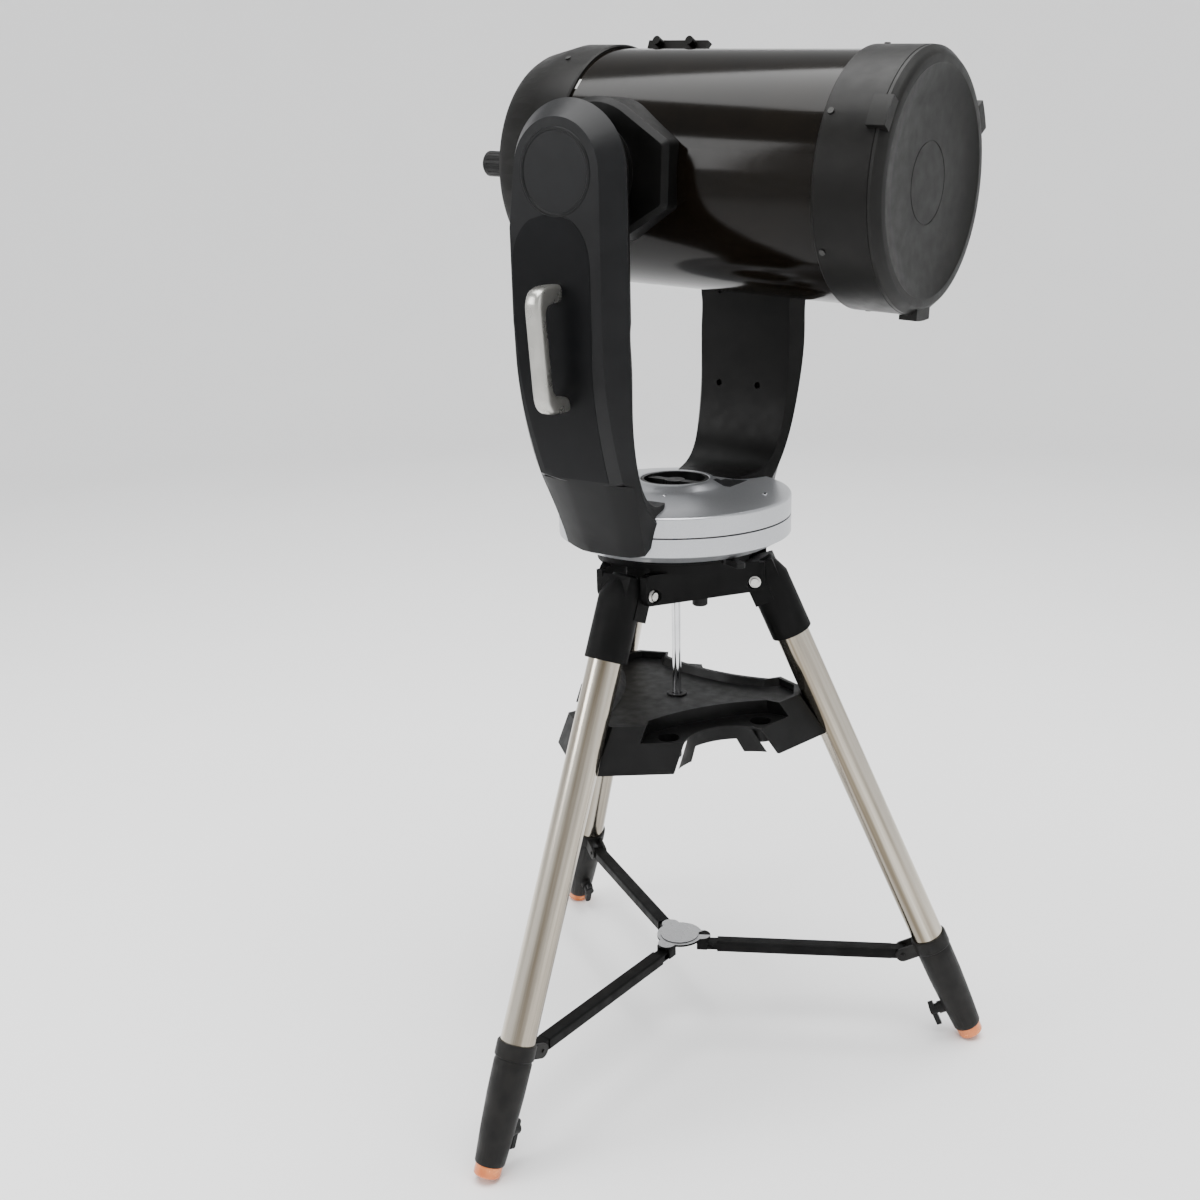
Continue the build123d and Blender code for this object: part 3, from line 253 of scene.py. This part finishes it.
def lathe_mesh(name, profile, segments=128):
    """Closed ring solid turned about Z from a closed list of (height, radius) in mm."""
    bm = bmesh.new()
    rings = []
    for h, r in profile:
        if r < 1e-6:
            rings.append([bm.verts.new((0, 0, h * MM))])
            continue
        ring = []
        for i in range(segments):
            a = 2 * math.pi * i / segments
            ring.append(bm.verts.new((r * MM * math.cos(a), r * MM * math.sin(a), h * MM)))
        rings.append(ring)
    count = len(rings)
    for i in range(count):
        a, b = rings[i], rings[(i + 1) % count]
        if len(a) == 1 and len(b) == 1:
            continue
        for s in range(segments):
            t = (s + 1) % segments
            if len(a) == 1:
                bm.faces.new((a[0], b[s], b[t]))
            elif len(b) == 1:
                bm.faces.new((a[s], b[0], a[t]))
            else:
                bm.faces.new((a[s], b[s], b[t], a[t]))
    return mesh_of(bm, name)


def lathe(name, profile, mat, matrix, body, stands_for=(), segments=128, bevel=0.5):
    """Turned piece about its frame's Z axis."""
    finish_piece(name, lathe_mesh(name, profile, segments), [mat], matrix, body, stands_for, bevel)


JOIN_DISTANCE = 1e-6                    # metres within which a node's split vertices are joined
FLAT_ANGLE = math.radians(0.6)          # faces this close to one plane become one face


def refined(node, body, mats, zone=None, bevel=0.6):
    """The node's own shape with joined faces and rounded edges; zone picks a material by face."""
    mesh = frame["nodes"][node].data.copy()
    mesh.materials.clear()
    bm = bmesh.new()
    bm.from_mesh(mesh)
    bmesh.ops.remove_doubles(bm, verts=bm.verts, dist=JOIN_DISTANCE)
    bmesh.ops.dissolve_limit(bm, angle_limit=FLAT_ANGLE, verts=bm.verts, edges=bm.edges)
    if zone:
        for f in bm.faces:
            f.material_index = zone(f.calc_center_median() / MM, f.normal)
    bm.to_mesh(mesh)
    bm.free()
    if "custom_normal" in mesh.attributes:
        mesh.attributes.remove(mesh.attributes["custom_normal"])
    finish_piece(f"{node}_look", mesh, mats, WORLD, body, (node,), bevel)


def paint(node, mat):
    """A better material on a CAD node that keeps its own shape."""
    ob = frame["nodes"][node]
    if not ob.material_slots:
        ob.data.materials.append(mat)
    for s in ob.material_slots:
        s.material = mat


RAY_START = 0.2                         # metres outside the outline from which a decal is laid down
PLATE_ANGLE = 50.0                      # smoothing angle of laid plates and handles


def decal(name, node, body, outline, direction, mat, lift, depth, rows, columns):
    """Thin plate that lies on a node's surface: outline(v) gives its two edges at v from 0 to 1."""
    source = frame["nodes"][node]
    points = [source.matrix_world @ v.co for v in source.data.vertices]
    tree = BVHTree.FromPolygons(points, [tuple(p.vertices) for p in source.data.polygons])
    along = Vector(direction)
    bm = bmesh.new()
    layers = ([], [])
    for i in range(rows + 1):
        left, right = outline(i / rows)
        for j in range(columns + 1):
            place = Vector(left).lerp(Vector(right), j / columns) * MM
            spot = tree.ray_cast(place - along * RAY_START, along)[0] or place
            layers[0].append(bm.verts.new(spot - along * lift * MM))
            layers[1].append(bm.verts.new(spot + along * depth * MM))
    wide = columns + 1
    for i in range(rows):
        for j in range(columns):
            for sheet, order in ((layers[0], 1), (layers[1], -1)):
                quad = [sheet[i * wide + j], sheet[i * wide + j + 1], sheet[(i + 1) * wide + j + 1],
                        sheet[(i + 1) * wide + j]]
                bm.faces.new(quad[::order])
    rim = list(range(wide)) + [i * wide + columns for i in range(1, rows + 1)]
    rim += [rows * wide + j for j in range(columns - 1, -1, -1)] + [i * wide for i in range(rows - 1, 0, -1)]
    for a, b in zip(rim, rim[1:] + rim[:1]):
        bm.faces.new((layers[0][b], layers[0][a], layers[1][a], layers[1][b]))
    finish_piece(name, mesh_of(bm, name), [mat], WORLD, body, (), 0.0, PLATE_ANGLE)


PATCH_SINK = 0.6                        # how far a plate on the tube goes into it


def tube_patch(name, x0, x1, a0, a1, radius, thick, mat, body):
    """Curved plate on the tube between two places along it and two angles from the top, near side."""
    bm = bmesh.new()
    steps = 10
    sections = []
    for i in range(steps + 1):
        a = math.radians(a0 + (a1 - a0) * i / steps)
        ring = []
        inner, outer = radius - PATCH_SINK, radius + thick
        for x, r in ((x0, inner), (x1, inner), (x1, outer), (x0, outer)):
            ring.append(bm.verts.new((x * MM, -r * MM * math.sin(a), r * MM * math.cos(a))))
        sections.append(ring)
    for a, b in zip(sections, sections[1:]):
        for i in range(4):
            bm.faces.new((a[i], a[(i + 1) % 4], b[(i + 1) % 4], b[i]))
    bm.faces.new(sections[0])
    bm.faces.new(sections[-1])
    finish_piece(name, mesh_of(bm, name), [mat], TUBE, body, (), 0.0)


# ---------------------------------------------------------------- the telescope's pieces
# Carry handle: outer and inner line as (distance from the middle plane, height), from the top foot down.
GRIP_OUTER = (
    (267.6, 1231.0), (286.0, 1231.0), (301.0, 1229.5), (311.5, 1224.5), (317.0, 1215.0), (318.5, 1203.0),
    (316.0, 1170.0), (312.0, 1125.0), (309.0, 1092.0), (306.0, 1078.0), (299.0, 1069.0), (288.0, 1065.5),
    (257.4, 1065.0))
GRIP_INNER = (
    (267.6, 1208.5), (279.0, 1207.5), (288.0, 1206.0), (294.5, 1203.0), (298.0, 1197.0), (299.0, 1190.0),
    (296.5, 1168.0), (293.0, 1128.0), (290.0, 1104.0), (287.0, 1095.0), (281.0, 1089.5), (272.0, 1087.0),
    (258.2, 1085.0))
GRIP_X, GRIP_HALF = -7.0, 12.0
GRIP_CORNERS = (0.5, 0.6)               # squareness of the bar's section, across and through


def smooth_line(points, steps=5):
    """Catmull-Rom line through the points."""
    def blend(a, b, c, d, t):
        return 0.5 * (2 * b + (c - a) * t + (2 * a - 5 * b + 4 * c - d) * t * t
                      + (3 * b - a - 3 * c + d) * t ** 3)

    ends = [points[0], *points, points[-1]]
    line = []
    for four in zip(ends, ends[1:], ends[2:], ends[3:]):
        for i in range(steps):
            line.append([blend(*values, i / steps) for values in zip(*four)])
    return line + [list(points[-1])]


def grips():
    """Both carry handles: a rounded bar that bends into its two feet."""
    bm = bmesh.new()
    around = 28
    for side in (-1, 1):
        rings = []
        for (yo, zo), (yi, zi) in zip(smooth_line(GRIP_OUTER), smooth_line(GRIP_INNER)):
            ring = []
            for i in range(around):
                a = 2 * math.pi * i / around
                across, through = math.cos(a), math.sin(a)
                x = GRIP_X + GRIP_HALF * math.copysign(abs(across) ** GRIP_CORNERS[0], across)
                u = 0.5 + 0.5 * math.copysign(abs(through) ** GRIP_CORNERS[1], through)
                ring.append(bm.verts.new((x * MM, side * (yi + (yo - yi) * u) * MM,
                                          (zi + (zo - zi) * u) * MM)))
            rings.append(ring)
        for a, b in zip(rings, rings[1:]):
            for i in range(around):
                bm.faces.new((a[i], a[(i + 1) % around], b[(i + 1) % around], b[i]))
        bm.faces.new(rings[0])
        bm.faces.new(rings[-1])
    finish_piece("carry_handles_look", mesh_of(bm, "carry_handles_look"), [grip_silver], WORLD, "fork",
                 ("carry_handles",), 0.0, PLATE_ANGLE)


KNOB_TOP = 768.5                        # the mounting bolts' knobs are below this height
BADGE_Z, BADGE_R = 165.0, 31.0          # the hub's top disc


def knob_zone(point, _normal):
    return 0 if point.z < KNOB_TOP else 1


def badge_zone(point, normal):
    on_disc = point.z > BADGE_Z and math.hypot(point.x, point.y) < BADGE_R
    return 1 if normal.z > 0.5 and on_disc else 0


# Node: body, material and width of its rounded edges in mm.
LOOKS = {
    "optical_tube": ("tube", tube_paint, 0.4), "front_cell": ("tube", cell_black, 0.8),
    "rear_cell": ("tube", cell_black, 0.8), "side_plates": ("tube", cast_black, 1.2),
    "visual_back": ("tube", cell_black, 0.4), "finder_bracket": ("tube", cell_black, 0.5),
    "lens_cover": ("lens_cover", cover_black, 0.8), "focus_knob": ("focus_knob", plastic_black, 0.4),
    "arm_near": ("fork", cast_black, 1.2), "arm_far": ("fork", cast_black, 1.2),
    "arm_cover_near": ("fork", hood_grey, 1.5), "arm_cover_far": ("fork", hood_grey, 1.5),
    "base_cover": ("fork", silver, 0.8),
    "base_shell": ("fork", silver, 0.8), "centre_cap": ("fork", plastic_black, 0.8),
    "port_panel": ("fork", plastic_black, 0.3), "power_switch": ("power_switch", plastic_black, 0.3),
    "altitude_clutch": ("altitude_clutch", plastic_black, 0.6),
    "azimuth_clutch": ("azimuth_clutch", plastic_black, 0.6),
    "base_plate": ("tripod", tripod_black, 0.8), "tripod_head": ("tripod", tripod_black, 1.0),
    "hinge_bolts": ("tripod", bolt_steel, 0.5), "centre_rod": ("tripod", chrome, 0.4),
    "accessory_tray": ("tray", plastic_black, 1.6), "tension_knob": ("tension_knob", plastic_black, 1.0)}
for k in LEGS:
    LOOKS[f"upper_sleeve_{k}"] = (f"leg_{k}", tripod_black, 1.0)
    LOOKS[f"lower_sleeve_{k}"] = (f"leg_{k}", sleeve_black, 0.8)
    LOOKS[f"clamp_knob_{k}"] = (f"clamp_{k}", plastic_black, 0.6)
    LOOKS[f"foot_tip_{k}"] = (f"foot_{k}", tip_orange, 0.5)
    LOOKS[f"spreader_bar_{k}"] = (f"bar_{k}", tripod_black, 0.6)
for node, (body, mat, bevel) in LOOKS.items():
    refined(node, body, [mat], bevel=bevel)
LEG_TUBE_OUT, LEG_TUBE_IN = 25.4, 23.9
leg_tube_section = [(LEG_TUBE_D[0], LEG_TUBE_IN), (LEG_TUBE_D[0], LEG_TUBE_OUT),
                    (LEG_TUBE_D[1], LEG_TUBE_OUT), (LEG_TUBE_D[1], LEG_TUBE_IN)]
# Leg tubes turned in their own leg's frame, so the painted reflection streaks of their steel run along each
# leg.
for k in LEGS:
    lathe(f"leg_tube_{k}_look", leg_tube_section, stainless_painted_reflection, LEG[k], f"leg_{k}", (f"leg_tube_{k}",),
          segments=96, bevel=0.3)
grips()
refined("mounting_bolts", "tripod", [plastic_black, bolt_steel], knob_zone, 0.6)
refined("spreader_hub", "spreader_hub", [tripod_black, badge_silver], badge_zone, 0.6)

KEPT_SHAPES = {
    "corrector_plate": corrector_glass, "primary_mirror": mirror_glass, "secondary_mirror": inner_black,
    "baffle_tube": inner_black, "altitude_wheel": brass, "azimuth_wheel": brass,
    "altitude_worm": bolt_steel, "azimuth_worm": bolt_steel, "drive_motors": motor_grey,
    "bearings": bolt_steel, "cell_screws": dark_screw, "inner_leg_a": inner_black,
    "inner_leg_b": inner_black, "inner_leg_c": inner_black}
for node, mat in KEPT_SHAPES.items():
    paint(node, mat)

ARM_FACE = 268.0                        # outer face of an arm, from the middle plane
PANEL = {"top": 1317.0, "shoulder": 1254.0, "bottom": 966.0, "apex": (-21.0, 0.0), "sides": (-74.0, 50.0)}
PANEL_TAPER_Z, PANEL_TAPER = 1180.0, 9.0 / 200.0


def panel_edges(side):
    """Left and right edge of the arched panel on an arm's cover."""
    def edges(v):
        z = PANEL["bottom"] + v * (PANEL["top"] - PANEL["bottom"])
        rise = max(0.0, (z - PANEL["shoulder"]) / (PANEL["top"] - PANEL["shoulder"]))
        pull = 1 - math.sqrt(max(0.0, 1 - rise * rise))
        left = PANEL["sides"][0] + (PANEL["apex"][0] - PANEL["sides"][0]) * pull
        right = PANEL["sides"][1] + (PANEL["apex"][1] - PANEL["sides"][1]) * pull
        narrow = PANEL_TAPER * max(0.0, PANEL_TAPER_Z - z)
        return (left + narrow, side * ARM_FACE, z), (right - narrow, side * ARM_FACE, z)
    return edges


for side, name in ((-1, "near"), (1, "far")):
    decal(f"arm_panel_{name}", f"arm_cover_{name}", "fork", panel_edges(side), (0, -side, 0), panel_black,
          lift=0.4, depth=1.2, rows=60, columns=16)
RING_FRAME = axes_matrix(Vector((altitude.x, -ARM_FACE * MM, altitude.z)), Vector((1, 0, 0)),
                         Vector((0, 0, 1)), Vector((0, -1, 0)))
lathe("arm_ring_near", [(-1.0, 50.0), (0.0, 50.0), (0.9, 51.2), (0.9, 54.0), (0.0, 55.2), (-1.0, 55.2)],
      hood_grey, RING_FRAME, "fork", bevel=0.2)


# Slanted label on the base: corners as (x, y), all taken from one height above it.
LABEL_Z = 940.0
LABEL_LEFT = ((56.0, 18.0), (37.0, 86.0))
LABEL_RIGHT = ((77.0, 32.0), (64.0, 105.0))


def label_edges(v):
    """Left and right edge of the label on the base."""
    return tuple(Vector((*near, LABEL_Z)).lerp(Vector((*far, LABEL_Z)), v)
                 for near, far in (LABEL_LEFT, LABEL_RIGHT))


decal("base_label", "base_cover", "fork", label_edges, (0, 0, -1), label_grey, lift=0.25, depth=0.8,
      rows=20, columns=8)
STUDS = ((27.7, -71.2, 917.8), (132.0, 39.4, 911.0))
STUD_SECTION = [(-2.0, 0.0), (-2.0, 3.4), (0.6, 3.4), (1.5, 2.6), (1.9, 1.2), (2.0, 0.0)]
for i, place in enumerate(STUDS):
    lathe(f"base_stud_{i + 1}", STUD_SECTION, chrome, Matrix.Translation(Vector(place) * MM), "fork",
          segments=32, bevel=0.0)
lathe("rod_washer", [(586.1, 7.6), (588.6, 7.6), (588.6, 14.5), (587.8, 15.5), (586.1, 15.5)],
      plastic_black, WORLD, "tray", segments=64, bevel=0.2)
tube_patch("tube_label", -79.0, -75.5, 44.0, 50.0, 159.0, 0.3, label_white, "tube")


# ---------------------------------------------------------------- stage, lights, camera
CAMERA_PLACE = Vector((1.159666, -1.780187, 1.380929))
CAMERA_TURN = (33.584, -16.826, -0.779)  # yaw, pitch and roll in degrees
CAMERA_LENS, CAMERA_SENSOR, CAMERA_SHIFT_X = 43.57, 36.0, -0.0532


def camera():
    """Camera at the place and angle of the reference view."""
    data = bpy.data.cameras.new("camera")
    data.lens = CAMERA_LENS
    data.sensor_width = CAMERA_SENSOR
    data.shift_x = CAMERA_SHIFT_X
    data.clip_end = 100.0
    ob = add_object("camera", data)
    yaw, pitch, roll = (math.radians(a) for a in CAMERA_TURN)
    look = Vector((-math.sin(yaw) * math.cos(pitch), math.cos(yaw) * math.cos(pitch), math.sin(pitch)))
    level = Vector((math.cos(yaw), math.sin(yaw), 0))
    above = level.cross(look)
    right = level * math.cos(roll) + above * math.sin(roll)
    upward = above * math.cos(roll) - level * math.sin(roll)
    ob.matrix_world = axes_matrix(CAMERA_PLACE, right, upward, -look)
    bpy.context.scene.camera = ob


def area_light(name, place, target, width, height, power):
    """Soft rectangular light that faces its target."""
    data = bpy.data.lights.new(name, "AREA")
    data.shape = "RECTANGLE"
    data.size, data.size_y = width, height
    data.energy = power
    ob = add_object(name, data)
    ob.location = place
    ob.rotation_euler = (Vector(target) - Vector(place)).to_track_quat("-Z", "Y").to_euler()


# Backdrop in metres: radius of the flat floor, radius of the sweep, height of the wall.
FLAT_R, SWEEP_R, WALL_TOP = 5.2, 2.2, 4.2
FLOOR_INNER_R = 1.5
FLOOR_Z = -0.0006                       # just under the feet


def backdrop():
    """Pale paper floor that sweeps up all round into a low wall."""
    line = [(FLOOR_INNER_R, 0.0), (FLAT_R, 0.0)]
    for degrees in range(6, 91, 6):
        a = math.radians(degrees)
        line.append((FLAT_R + SWEEP_R * math.sin(a), SWEEP_R * (1 - math.cos(a))))
    line.append((FLAT_R + SWEEP_R, WALL_TOP))
    bm = bmesh.new()
    turns = 96
    angles = [2 * math.pi * i / turns for i in range(turns)]
    rings = [[bm.verts.new((r * math.cos(a), r * math.sin(a), z)) for a in angles] for r, z in line]
    centre = bm.verts.new((0, 0, 0))
    for i in range(turns):
        bm.faces.new((centre, rings[0][i], rings[0][(i + 1) % turns]))
    for a, b in zip(rings, rings[1:]):
        for i in range(turns):
            bm.faces.new((a[i], b[i], b[(i + 1) % turns], a[(i + 1) % turns]))
    mesh = bpy.data.meshes.new("backdrop")
    bm.to_mesh(mesh)
    bm.free()
    mesh.shade_smooth()
    ob = add_object("backdrop", mesh)
    ob.location.z = FLOOR_Z
    mesh.materials.append(material("backdrop_paper", (0.84, 0.84, 0.84), 0.8, color2=(0.85, 0.85, 0.85),
                                   color_scale=2.0, rough2=0.85, specular=0.1))


camera()
backdrop()
world = bpy.data.worlds.new("studio")
bpy.context.scene.world = world
world.use_nodes = True
sky = world.node_tree.nodes["Background"].inputs
sky["Color"].default_value = (0.98, 0.99, 1.0, 1)
sky["Strength"].default_value = 0.62
area_light("top", (0.3, -0.2, 5.0), (0, 0, 0.6), 5.0, 5.0, 620.0)
area_light("key", (-2.4, -3.2, 2.6), (0, 0, 1.1), 1.4, 1.8, 70.0)
area_light("fill", (3.2, -0.4, 2.0), (0, 0, 1.0), 1.2, 2.0, 8.0)
